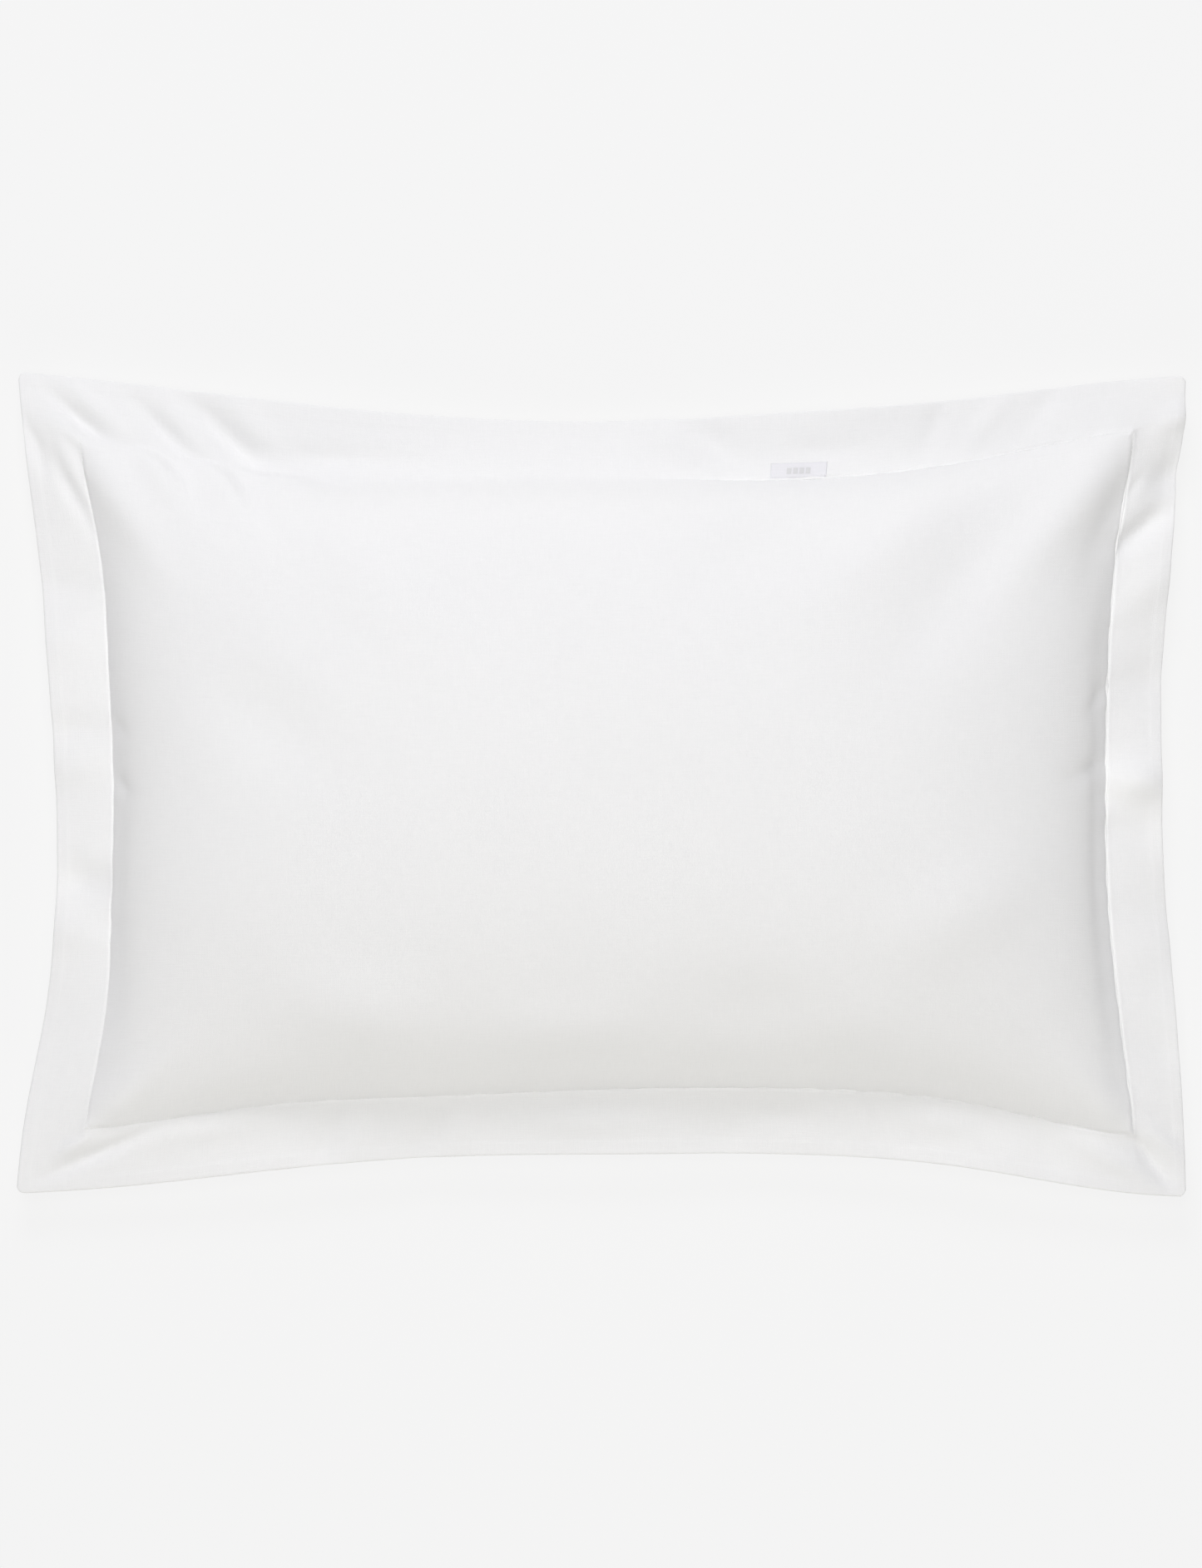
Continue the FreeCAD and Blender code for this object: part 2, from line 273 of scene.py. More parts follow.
def start_points(s, t, swell):
    """A rough filled shape for the simulation to start from, swell metres above the seam."""
    u = np.clip(abs(s) / HALF_S, 0, 1)
    v = np.clip(abs(t) / HALF_T, 0, 1)
    height = START_SEAM_HEIGHT + swell * (1 - u**4) ** 0.75 * (1 - v**2.5) ** 0.8
    return fit_outline(np.stack([s, t, height], -1))


def add_object(name, data):
    """A new object in the scene."""
    added = bpy.data.objects.new(name, data)
    bpy.context.scene.collection.objects.link(added)
    return added


def quads(index):
    """The faces of a grid of vertex numbers."""
    return np.stack([index[:-1, :-1], index[1:, :-1], index[1:, 1:], index[:-1, 1:]], -1).reshape(-1, 4)


def case_cloth():
    """The case as one mesh, with its flat shape as a shape key, and its front and back grids."""
    s, t = pairs(LINES_S, LINES_T)
    front = np.arange(s.size).reshape(s.shape)
    back = front.copy()
    back[INSIDE] = s.size + np.arange(s[INSIDE].size).reshape(s[INSIDE].shape)
    start = np.concatenate(
        [
            start_points(s, t, START_SWELL_FRONT).reshape(-1, 3),
            start_points(s, t, START_SWELL_BACK)[INSIDE].reshape(-1, 3),
        ]
    )
    flat = np.full_like(start, START_SEAM_HEIGHT)
    flat[:, 0] = np.concatenate([s.ravel(), s[INSIDE].ravel()])
    flat[:, 1] = np.concatenate([t.ravel(), t[INSIDE].ravel()])
    faces = np.concatenate([quads(front), quads(back[INNER])[:, ::-1]])

    mesh = bpy.data.meshes.new("case_cloth")
    mesh.from_pydata(start.tolist(), [], faces.tolist())
    cloth = add_object("case_cloth", mesh)
    cloth.shape_key_add(name="start")
    cloth.shape_key_add(name="flat").data.foreach_set("co", flat.ravel())
    filled = cloth.vertex_groups.new(name="filled")
    pressed = np.concatenate([front[INNER].ravel(), back[INSIDE].ravel()])
    filled.add(pressed.tolist(), 1.0, "REPLACE")
    return cloth, Grids(front, back)


def lay_on_ground():
    """A surface for the simulated cloth to rest on."""
    mesh = bpy.data.meshes.new("sim_ground")
    mesh.from_pydata([(-2, -2, 0), (2, -2, 0), (2, 2, 0), (-2, 2, 0)], [], [(0, 1, 2, 3)])
    ground = add_object("sim_ground", mesh)
    ground.modifiers.new("Collision", "COLLISION")
    ground.collision.thickness_outer = 0.001
    ground.collision.cloth_friction = 5
    return ground


def simulate_case():
    """Fills the case and lets it settle. Returns its front and back as grids of points."""
    cloth, grids = case_cloth()
    ground = lay_on_ground()
    modifier = cloth.modifiers.new("Cloth", "CLOTH")
    settings = modifier.settings
    settings.rest_shape_key = cloth.data.shape_keys.key_blocks["flat"]
    settings.quality = 6
    settings.mass = 0.02
    settings.tension_stiffness = 25
    settings.compression_stiffness = 25
    settings.shear_stiffness = 1.0
    settings.bending_stiffness = 0.6
    settings.tension_damping = 5
    settings.compression_damping = 5
    settings.shear_damping = 5
    settings.bending_damping = 0.5
    settings.air_damping = 4
    settings.use_pressure = True
    settings.use_pressure_volume = True
    settings.vertex_group_pressure = "filled"
    settings.target_volume = FILL_VOLUME
    settings.pressure_factor = 200
    settings.effector_weights.gravity = 0.15
    modifier.collision_settings.distance_min = 0.001
    modifier.point_cache.frame_start = 1
    modifier.point_cache.frame_end = FRAMES
    for number in range(1, FRAMES + 1):
        bpy.context.scene.frame_set(number)
    settled = cloth.evaluated_get(bpy.context.evaluated_depsgraph_get())
    points = np.zeros(len(cloth.data.vertices) * 3)
    settled.data.vertices.foreach_get("co", points)
    points = points.reshape(-1, 3)
    bpy.data.objects.remove(cloth)
    bpy.data.objects.remove(ground)
    bpy.context.scene.frame_set(1)
    return points[grids.front], points[grids.back]


def relax(points):
    """Evens out the cloth, most in the pocket's middle, and the seams only along themselves."""
    low_s, high_s = CELLS_FLANGE, CELLS_FLANGE + CELLS_S
    low_t, high_t = CELLS_FLANGE, CELLS_FLANGE + CELLS_T
    for seam in [(INNER[0], low_t), (INNER[0], high_t), (low_s, INNER[1]), (high_s, INNER[1])]:
        line = points[seam].copy()
        for _ in range(RELAX_ROUNDS):
            line[1:-1] += 0.25 * (line[:-2] + line[2:] - 2 * line[1:-1])
        points[seam] = line
    s, t = pairs(LINES_S, LINES_T)
    away = outside(s, t)
    inner_calm = SEAM_CALM + (MIDDLE_CALM - SEAM_CALM) * smooth_step(-away / CALM_REACH)
    strength = np.where(away > 0, FLANGE_CALM, inner_calm)
    strength[abs(away) < 1e-9] = 0
    for _ in range(RELAX_ROUNDS):
        wide = np.pad(points, ((1, 1), (1, 1), (0, 0)), mode="reflect", reflect_type="odd")
        mean = (wide[:-2, 1:-1] + wide[2:, 1:-1] + wide[1:-1, :-2] + wide[1:-1, 2:]) / 4
        points += strength[..., None] * (mean - points)


def wave_flange(points):
    """Lifts and drops the flange's edges, as cloth that nothing holds level does."""
    s, t = pairs(LINES_S, LINES_T)
    out_s = np.clip((abs(s) - HALF_S) / FLANGE, 0, 1) ** FLANGE_CURL
    out_t = np.clip((abs(t) - HALF_T) / FLANGE, 0, 1) ** FLANGE_CURL
    left, right = np.array(END_EDGE_LIFTS) @ spline_matrix(np.array(PLACES_T), LINES_T).T
    bottom, top = np.array(SIDE_EDGE_LIFTS) @ spline_matrix(np.array(PLACES_S), LINES_S).T
    points[..., 2] += out_s * np.where(s < 0, left, right)
    points[..., 2] += out_t * np.where(t < 0, bottom[:, None], top[:, None])


def share_flange(front, back):
    """Gives the back the front's flange, because the two lie on each other there."""
    flange = np.ones(front.shape[:2], bool)
    flange[INSIDE] = False
    back[flange] = front[flange]


# ---------------- smooth sheets from the grids


def cloth_matrix(lines, half, places):
    """As spline_matrix, but free to bend sharply at the two seams."""
    places = np.clip(places, lines[0], lines[-1])
    matrix = np.zeros((len(places), len(lines)))
    first = CELLS_FLANGE
    last = len(lines) - 1 - CELLS_FLANGE
    spans = [(0, first), (first, last), (last, len(lines) - 1)]
    zone = np.where(places < -half, 0, np.where(places <= half, 1, 2))
    for number, (low, high) in enumerate(spans):
        here = np.flatnonzero(zone == number)
        if len(here):
            matrix[np.ix_(here, range(low, high + 1))] = spline_matrix(lines[low : high + 1], places[here])
    return matrix


def blur_matrix(lines, places, width):
    """The matrix that turns values on the lines into values at places, smoothed over width."""
    places = np.clip(places, lines[0], lines[-1])
    weights = np.exp(-(((places[:, None] - lines[None, :]) / width) ** 2))
    return weights / weights.sum(axis=1, keepdims=True)


def soft_seam(s, t):
    """1 where the front runs smoothly over the top side's seam, and 0 where the seam is crisp."""
    run = smooth_step((s - SOFT_FROM_S) / 0.05) * smooth_step((SOFT_TO_S - s) / 0.08)
    return run * smooth_step(1.6 - abs(t - HALF_T) / 0.016)


def evaluate(points, s, t):
    """The points of the cloth at every pair of s and t."""
    across = cloth_matrix(LINES_S, HALF_S, s)
    along = cloth_matrix(LINES_T, HALF_T, t)
    return np.einsum("ai,ijk,bj->abk", across, points, along, optimize=True)


def evaluate_front(points, s, t):
    """As evaluate, with the soft part of the seam smoothed over."""
    sharp = evaluate(points, s, t)
    across = cloth_matrix(LINES_S, HALF_S, s)
    along = blur_matrix(LINES_T, t, SOFT_BLUR)
    smooth = np.einsum("ai,ijk,bj->abk", across, points, along, optimize=True)
    share = soft_seam(*pairs(s, t))[..., None]
    return sharp + share * (smooth - sharp)


def surface_normals(sheet, s, t):
    """Unit normals of a sheet at every pair of s and t, pointing out of the pillow."""
    reach = 0.0012
    by_s = sheet.shape(sheet.points, s + reach, t) - sheet.shape(sheet.points, s - reach, t)
    by_t = sheet.shape(sheet.points, s, t + reach) - sheet.shape(sheet.points, s, t - reach)
    return sheet.facing * unit(np.cross(by_s, by_t))


def wander(places, pitch, seed):
    """A smooth random line with a mean of 0 and a swing of about 1."""
    rng = np.random.default_rng(seed)
    waves = rng.uniform(0.6, 1.7, 6) * 2 * math.pi / pitch
    phases = rng.uniform(0, 2 * math.pi, 6)
    return sum(np.sin(places * w + p) for w, p in zip(waves, phases)) / 2.4


# Soft folds as (start, end, width, height, peak): places on the flat cloth, height up from it,
# and how far along the fold it is highest
FLANGE_FOLDS = (
    # the top left corner's fan of diagonal folds
    ((-0.402, 0.288), (-0.358, 0.256), 0.0066, -0.0062, 0.7),
    ((-0.404, 0.268), (-0.372, 0.25), 0.007, 0.0018, 0.6),
    ((-0.386, 0.298), (-0.338, 0.258), 0.007, 0.003, 0.5),
    ((-0.34, 0.294), (-0.296, 0.252), 0.0068, -0.0052, 0.65),
    ((-0.322, 0.298), (-0.276, 0.252), 0.007, 0.0028, 0.7),
    ((-0.3, 0.298), (-0.243, 0.252), 0.009, -0.0074, 0.62),
    ((-0.268, 0.3), (-0.216, 0.254), 0.008, 0.0026, 0.5),
    ((-0.424, 0.27), (-0.408, 0.222), 0.007, -0.0036, 0.5),
    ((-0.408, 0.25), (-0.379, 0.186), 0.0062, -0.0026, 0.55),
    ((-0.396, 0.256), (-0.376, 0.205), 0.0055, 0.0016, 0.45),
    # ripples across the left flange
    ((-0.376, 0.15), (-0.428, 0.14), 0.011, -0.002, 0.7),
    ((-0.376, 0.112), (-0.428, 0.1), 0.015, 0.0028, 0.7),
    ((-0.376, 0.046), (-0.428, 0.038), 0.011, -0.003, 0.7),
    ((-0.376, 0.018), (-0.428, 0.01), 0.013, 0.0026, 0.7),
    ((-0.376, -0.072), (-0.428, -0.066), 0.014, -0.005, 0.55),
    ((-0.376, -0.108), (-0.428, -0.104), 0.013, 0.0026, 0.7),
    # the top right corner
    ((0.392, 0.25), (0.43, 0.268), 0.013, 0.0056, 0.7),
    ((0.394, 0.207), (0.43, 0.222), 0.015, -0.0076, 0.75),
    ((0.374, 0.164), (0.428, 0.198), 0.0095, -0.0078, 0.45),
    ((0.377, 0.205), (0.392, 0.218), 0.0035, -0.002, 0.5),
    ((0.376, 0.122), (0.428, 0.15), 0.015, 0.004, 0.7),
    # ripples across the right flange
    ((0.376, 0.066), (0.428, 0.076), 0.014, -0.0024, 0.7),
    ((0.376, 0.003), (0.428, 0.001), 0.013, 0.0088, 0.6),
    ((0.376, -0.034), (0.428, -0.03), 0.017, -0.003, 0.7),
    ((0.376, -0.12), (0.428, -0.112), 0.018, 0.0028, 0.7),
    ((0.376, -0.178), (0.428, -0.19), 0.016, -0.002, 0.7),
    # the bottom left corner
    ((-0.404, -0.288), (-0.324, -0.256), 0.0055, -0.004, 0.5),
    ((-0.396, -0.27), (-0.368, -0.256), 0.006, 0.0034, 0.5),
    # the bottom right corner
    ((0.372, -0.25), (0.41, -0.292), 0.0075, -0.0044, 0.4),
    ((0.386, -0.24), (0.424, -0.27), 0.008, 0.003, 0.5),
    ((0.33, -0.262), (0.392, -0.29), 0.009, 0.003, 0.5),
    # ripples across the bottom flange
    ((-0.196, -0.252), (-0.208, -0.302), 0.01, -0.003, 0.6),
    ((-0.176, -0.252), (-0.186, -0.302), 0.009, 0.002, 0.6),
    ((-0.122, -0.252), (-0.138, -0.302), 0.01, -0.003, 0.6),
    ((-0.098, -0.252), (-0.112, -0.302), 0.009, 0.002, 0.6),
    ((0.084, -0.252), (0.074, -0.302), 0.022, -0.003, 0.6),
    ((-0.06, -0.272), (0.03, -0.276), 0.012, 0.0034, 0.5),
    ((0.09, -0.268), (0.15, -0.27), 0.012, -0.003, 0.5),
    ((-0.33, -0.264), (-0.24, -0.262), 0.011, 0.0024, 0.5),
    ((0.205, -0.266), (0.26, -0.268), 0.012, 0.0034, 0.5),
    ((0.18, -0.252), (0.182, -0.288), 0.0034, 0.0016, 0.3),
    ((0.3, -0.254), (0.316, -0.296), 0.014, -0.0022, 0.6),
    # ripples across the top flange
    ((-0.25, 0.263), (-0.125, 0.265), 0.0085, -0.0042, 0.45),
    ((0.104, 0.254), (0.056, 0.298), 0.013, -0.0052, 0.55),
    ((0.07, 0.256), (0.026, 0.298), 0.011, 0.0034, 0.6),
    ((0.19, 0.268), (0.11, 0.272), 0.01, -0.0028, 0.5),
    ((0.222, 0.256), (0.238, 0.302), 0.008, -0.0026, 0.6),
    ((0.25, 0.256), (0.286, 0.302), 0.009, 0.0026, 0.6),
    ((0.29, 0.26), (0.32, 0.302), 0.008, -0.002, 0.6),
)
CROWN_FOLDS = (
    # the corners' long soft ridges
    ((0.37, 0.246), (0.29, 0.15), 0.02, 0.009, 0.4),
    ((0.371, 0.222), (0.345, 0.122), 0.013, -0.003, 0.4),
    ((-0.372, 0.246), (-0.318, 0.15), 0.016, 0.005, 0.35),
    ((-0.372, -0.246), (-0.31, -0.19), 0.014, 0.004, 0.35),
    ((0.372, -0.246), (0.318, -0.19), 0.014, 0.004, 0.35),
    # lobes below the top left folds
    ((-0.336, 0.252), (-0.302, 0.214), 0.0095, 0.004, 0.4),
    ((-0.312, 0.252), (-0.284, 0.206), 0.008, -0.003, 0.45),
    ((-0.286, 0.252), (-0.256, 0.214), 0.009, 0.0038, 0.4),
    ((-0.262, 0.25), (-0.238, 0.196), 0.01, -0.0034, 0.4),
    ((-0.232, 0.25), (-0.196, 0.222), 0.01, 0.0028, 0.4),
    # broad shallow waves where the filling is uneven
    ((0.3, 0.215), (0.19, 0.07), 0.03, -0.006, 0.4),
    ((0.25, 0.23), (0.12, 0.12), 0.026, 0.0056, 0.4),
    ((0.16, 0.24), (0.06, 0.15), 0.024, -0.0048, 0.4),
    ((-0.2, 0.215), (-0.12, 0.09), 0.03, 0.0052, 0.4),
    ((-0.29, 0.09), (-0.19, 0.01), 0.032, -0.0052, 0.5),
    ((0.31, -0.06), (0.2, -0.13), 0.032, 0.0056, 0.5),
    ((-0.24, -0.15), (-0.12, -0.19), 0.03, 0.0048, 0.5),
    ((0.05, -0.16), (0.19, -0.205), 0.03, -0.0048, 0.5),
    ((-0.09, -0.186), (0.02, -0.19), 0.024, 0.0034, 0.5),
    ((0.1, -0.188), (0.2, -0.192), 0.024, 0.0034, 0.5),
    # the cloth eases off just inside the end seams
    ((0.364, 0.13), (0.364, -0.215), 0.0075, -0.0026, 0.5),
    ((-0.365, 0.06), (-0.365, -0.2), 0.007, -0.0012, 0.5),
    # short creases at the ends
    ((0.372, 0.068), (0.35, 0.046), 0.005, -0.0022, 0.35),
    ((0.372, 0.017), (0.33, 0.0), 0.006, -0.0026, 0.35),
    ((-0.372, 0.048), (-0.356, 0.034), 0.0045, -0.002, 0.35),
    ((-0.372, 0.006), (-0.354, -0.01), 0.0045, -0.002, 0.35),
)


def fold_height(start, end, width, height, peak, s, t):
    """How high one fold stands at each pair of s and t."""
    line = np.subtract(end, start)
    length = np.linalg.norm(line)
    along = ((s - start[0]) * line[0] + (t - start[1]) * line[1]) / length**2
    across = ((s - start[0]) * line[1] - (t - start[1]) * line[0]) / length
    rise = smooth_step((along + 0.25) / (peak + 0.25))
    fall = smooth_step((1.25 - along) / (1.25 - peak))
    return height * bell(across, width) * rise * fall


def fold_relief(folds, s, t):
    return sum(fold_height(*fold, s, t) for fold in folds)


def seam_relief(s, t):
    """The dent along the stitching, the ridge beside it, and its small puckers and longer rucks.

    The left half of the seam is softer than the right half. side starts each of the four sides at
    a place of its own on the random lines.
    """
    away = outside(s, t)
    by_end = abs(s) - HALF_S > abs(t) - HALF_T
    along = np.where(by_end, t, s)
    side = np.where(by_end, np.sign(s), 2 * np.sign(t))
    crisp = (1 - soft_seam(s, t)) * np.where(s < 0, LEFT_CRISPNESS, 1.0)
    pucker = wander(along + 0.37 * side, PUCKER_PITCH, 5) * bell(away - 0.002, 0.005)
    ruck = wander(along + 0.61 * side, RUCK_PITCH, 6) * bell(away, 0.016)
    height = -SEAM_DENT * bell(away, 0.0013) + SEAM_RIDGE * bell(away - 0.0026, 0.0014)
    return crisp * (height + PUCKER_HEIGHT * pucker + RUCK_HEIGHT * ruck)


def rim_taper(s, t):
    """1 over most of a sheet, and down to 0 in a round edge at the flange's rim."""
    inside_rim = np.minimum(OUTER_S - abs(s), OUTER_T - abs(t))
    depth = np.clip(1 - inside_rim / RIM_WIDTH, 0, 1)
    return np.sqrt(np.clip(1 - depth**2, 0, 1))


def flange_share(s, t):
    """0 over the pocket, 1 over the flange, and a smooth rise across the seam."""
    return smooth_step(outside(s, t) / SEAM_BLEND + 0.5)


def front_relief(s, t):
    """Everything that stands up from the simulated front: folds, seam and the rim's allowance."""
    on_flange = flange_share(s, t)
    height = on_flange * fold_relief(FLANGE_FOLDS, s, t)
    height += (1 - on_flange) * fold_relief(CROWN_FOLDS, s, t)
    height += seam_relief(s, t)
    over_allowance = smooth_step((outside(s, t) - (FLANGE - ALLOWANCE) + 0.001) / 0.002)
    return height + ALLOWANCE_RISE * over_allowance * rim_taper(s, t)


def back_relief(s, t):
    """The back's flange lies against the front's, so it follows the same folds the other way."""
    follow = -flange_share(s, t) * fold_relief(FLANGE_FOLDS, s, t)
    return follow - SEAM_DENT * bell(outside(s, t), 0.0018)


Sheet = namedtuple("Sheet", "points facing relief shape", defaults=(evaluate,))


def round_corners(s, t):
    """How far each point moves in x, y and z to round off the flange's corners."""
    a = np.clip((abs(s) - OUTER_S) / CORNER_RADIUS + 1, 0, 1)
    b = np.clip((abs(t) - OUTER_T) / CORNER_RADIUS + 1, 0, 1)
    move_s = np.sign(s) * a * (np.sqrt(1 - b**2 / 2) - 1)
    move_t = np.sign(t) * b * (np.sqrt(1 - a**2 / 2) - 1)
    return CORNER_RADIUS * np.stack([move_s, move_t, np.zeros_like(a)], -1)


def sheet_points(sheet, s, t, lift):
    """Points of a sheet at every pair of s and t, lift metres out from it."""
    s_grid, t_grid = pairs(s, t)
    height = sheet.relief(s_grid, t_grid) + lift
    points = sheet.shape(sheet.points, s, t) + round_corners(s_grid, t_grid)
    return points + surface_normals(sheet, s, t) * height[..., None]


# ---------------- meshes


def new_piece(name, points, faces, places):
    """A mesh object with smooth faces. places is each vertex's place on the flat cloth."""
    mesh = bpy.data.meshes.new(name)
    mesh.from_pydata(np.asarray(points).tolist(), [], faces)
    mesh.polygons.foreach_set("use_smooth", [True] * len(mesh.polygons))
    attribute = mesh.attributes.new("cloth", "FLOAT_VECTOR", "POINT")
    attribute.data.foreach_set("vector", np.asarray(places, float).ravel())
    mesh.update()
    return add_object(name, mesh)


def graded_lines(half, low=None, high=None):
    """Lines across a sheet from low to high, close together at the seams and at the rim."""
    outer = half + FLANGE
    near_seam = np.array([0.0007, 0.0015, 0.0024, 0.0035, 0.0050, 0.0070, 0.0095, 0.0125, 0.0160])
    near_rim = np.array([0.0, 0.0003, 0.0008, 0.0016, 0.0030, 0.0055, 0.0085, 0.0095, 0.0105])
    seam = half + np.concatenate([-near_seam, [0.0], near_seam])
    rim = outer - near_rim
    gaps = [
        (-half + near_seam[-1], half - near_seam[-1], POCKET_SPACING),
        (half + near_seam[-1], outer - near_rim[-1], FLANGE_SPACING),
    ]
    lines = [seam, -seam, rim, -rim]
    for start, end, spacing in gaps:
        count = max(1, round((end - start) / spacing))
        inside = np.linspace(start, end, count + 1)[1:-1]
        lines += [inside, -inside]
    lines = np.unique(np.round(np.concatenate(lines), 7))
    if low is not None:
        lines = np.concatenate([[low], lines[lines > low + 0.0005]])
    if high is not None:
        lines = np.concatenate([lines[lines < high - 0.0005], [high]])
    return lines


def shell(name, upper, lower, s, t):
    """A closed thin piece between two grids of points, upper being the side that faces out."""
    count = upper.shape[0] * upper.shape[1]
    top = np.arange(count).reshape(upper.shape[:2])
    under = top + count
    edges = [(0, slice(None)), (slice(None), -1), (-1, slice(None, None, -1)), (slice(None, None, -1), 0)]
    walls = []
    for edge in edges:
        a = top[edge]
        b = under[edge]
        walls.append(np.stack([a[:-1], a[1:], b[1:], b[:-1]], -1))
    faces = np.concatenate([quads(top), quads(under)[:, ::-1], *walls]).tolist()
    s_grid, t_grid = pairs(s, t)
    place = np.stack([s_grid, t_grid, np.zeros_like(s_grid)], -1).reshape(-1, 3)
    points = np.concatenate([upper.reshape(-1, 3), lower.reshape(-1, 3)])
    return new_piece(name, points, faces, np.concatenate([place, place]))


def tube(name, loops):
    """A closed ring from closed loops of points, each joined to the next and the last to the first."""
    index = np.arange(len(loops) * len(loops[0])).reshape(len(loops), -1)
    index = np.concatenate([index, index[:1]], 0)
    index = np.concatenate([index, index[:, :1]], 1)
    points = np.concatenate(loops)
    return face_outwards(new_piece(name, points, quads(index).tolist(), points))


def face_outwards(piece):
    """Turns a closed piece's faces so that they all face out."""
    mesh = bmesh.new()
    mesh.from_mesh(piece.data)
    bmesh.ops.recalc_face_normals(mesh, faces=mesh.faces)
    mesh.to_mesh(piece.data)
    mesh.free()
    return piece


def cloth_layer(name, sheet, s, t, levels):
    """One layer of cloth on a sheet, rounded off where it reaches the flange's rim."""
    s_grid, t_grid = pairs(s, t)
    taper = rim_taper(s_grid, t_grid)
    upper = sheet_points(sheet, s, t, levels[0] * taper)
    lower = sheet_points(sheet, s, t, levels[1] * taper)
    return face_outwards(shell(name, upper, lower, s, t))


def stitch_form():
    """One stitch: the points of a short fat thread that lies along x, and its faces."""
    across = np.array([-0.50, -0.38, 0.0, 0.38, 0.50]) * STITCH_LENGTH
    girth = np.array([0.35, 0.85, 1.0, 0.85, 0.35]) * THREAD_RADIUS
    drop = np.array([-0.9, -0.2, 0.15, -0.2, -0.9]) * THREAD_RADIUS
    sides = 8
    angle = np.arange(sides) * 2 * math.pi / sides
    y = np.outer(girth, np.cos(angle))
    z = np.outer(girth, np.sin(angle)) + drop[:, None]
    points = np.stack([np.repeat(across, sides), y.ravel(), z.ravel()], -1)
    ring = np.arange(len(across) * sides).reshape(len(across), sides)
    body = quads(np.concatenate([ring, ring[:, :1]], 1))
    return points, [*body.tolist(), ring[0][::-1].tolist(), ring[-1].tolist()]


def value_at(place, length, values):
    """Where a line of points or normals is at one place along its length."""
    return np.array([np.interp(place, length, values[:, axis]) for axis in range(3)])


def stitches(name, runs):
    """One mesh of separate stitches. runs are (points, normals) along each row of stitching."""
    form, form_faces = stitch_form()
    points = []
    faces = []
    places = []
    for line, normals in runs:
        length = np.concatenate([[0], np.cumsum(np.linalg.norm(np.diff(line, axis=0), axis=1))])
        for middle in np.arange(STITCH_PITCH / 2, length[-1], STITCH_PITCH):
            ahead = unit(value_at(middle + 0.0005, length, line) - value_at(middle - 0.0005, length, line))
            side = unit(np.cross(value_at(middle, length, normals), ahead))
            turn = np.stack([ahead, side, np.cross(ahead, side)])
            first = len(points) * len(form)
            points.append(value_at(middle, length, line) + form @ turn)
            faces += [[corner + first for corner in face] for face in form_faces]
            places.append(form + [middle, 0, 0])
    return face_outwards(new_piece(name, np.concatenate(points), faces, np.concatenate(places)))


def line_on(sheet, s, t, lift):
    """A line of points and normals along a sheet, where one of s and t is a single place.

    lift is one height out from the sheet, or one for each place.
    """
    lifts = np.reshape(lift, (-1, 1) if len(s) > 1 else (1, -1))
    points = sheet_points(sheet, s, t, lifts).reshape(-1, 3)
    normals = surface_normals(sheet, s, t).reshape(-1, 3)
    return points, normals


def border_runs(sheet, lift, sink=0.0):
    """The four rows of stitching round the pocket, sunk into the cloth where the seam is soft."""
    along_s = np.linspace(-HALF_S, HALF_S, 700)
    along_t = np.linspace(-HALF_T, HALF_T, 480)
    runs = []
    for side in (-1, 1):
        lifts = lift - sink * soft_seam(along_s, side * HALF_T)
        runs.append(line_on(sheet, along_s, np.array([side * HALF_T]), lifts))
        runs.append(line_on(sheet, np.array([side * HALF_S]), along_t, lift))
    return runs


# ---------------- materials


def node_of(tree, kind, **sockets):
    node = tree.nodes.new(kind)
    for name, value in sockets.items():
        node.inputs[name.replace("_", " ")].default_value = value
    return node


def scaled_noise(tree, source, scale, detail):
    """A socket with noise on the cloth's own place, stretched by scale."""
    mapping = node_of(tree, "ShaderNodeMapping")
    mapping.inputs["Scale"].default_value = scale
    tree.links.new(source, mapping.inputs["Vector"])
    noise = node_of(tree, "ShaderNodeTexNoise", Scale=1.0, Detail=detail, Roughness=0.6)
    tree.links.new(mapping.outputs["Vector"], noise.inputs["Vector"])
    return noise.outputs["Fac"]


def math_node(tree, operation, first, second):
    """A Math node on two sockets or numbers."""
    node = tree.nodes.new("ShaderNodeMath")
    node.operation = operation
    for socket, value in zip(node.inputs, (first, second)):
        if isinstance(value, (int, float)):
            socket.default_value = value
        else:
            tree.links.new(value, socket)
    return node.outputs[0]


def weave_height(tree, source, thread):
    """A plain weave: threads over and under each other, thread metres apart."""
    parts = tree.nodes.new("ShaderNodeSeparateXYZ")
    tree.links.new(source, parts.inputs[0])
    waves = []
    for axis in ("X", "Y"):
        turned = math_node(tree, "MULTIPLY", parts.outputs[axis], math.pi / thread)
        waves.append(math_node(tree, "SINE", turned, 0.0))
    return math_node(tree, "MULTIPLY", waves[0], waves[1])


def new_material(name, roughness, specular, sheen):
    """A material's node tree, its shader, and the socket with each point's place on the cloth."""
    material = bpy.data.materials.new(name)
    material.use_nodes = True
    tree = material.node_tree
    shader = tree.nodes["Principled BSDF"]
    shader.inputs["Roughness"].default_value = roughness
    shader.inputs["Specular IOR Level"].default_value = specular
    shader.inputs["Sheen Weight"].default_value = sheen
    shader.inputs["Sheen Roughness"].default_value = 0.5
    place = tree.nodes.new("ShaderNodeAttribute")
    place.attribute_name = "cloth"
    return material, tree, shader, place.outputs["Vector"]


def add_bump(tree, shader, height, strength, distance):
    bump = node_of(tree, "ShaderNodeBump", Strength=strength, Distance=distance)
    tree.links.new(height, bump.inputs["Height"])
    tree.links.new(bump.outputs["Normal"], shader.inputs["Normal"])


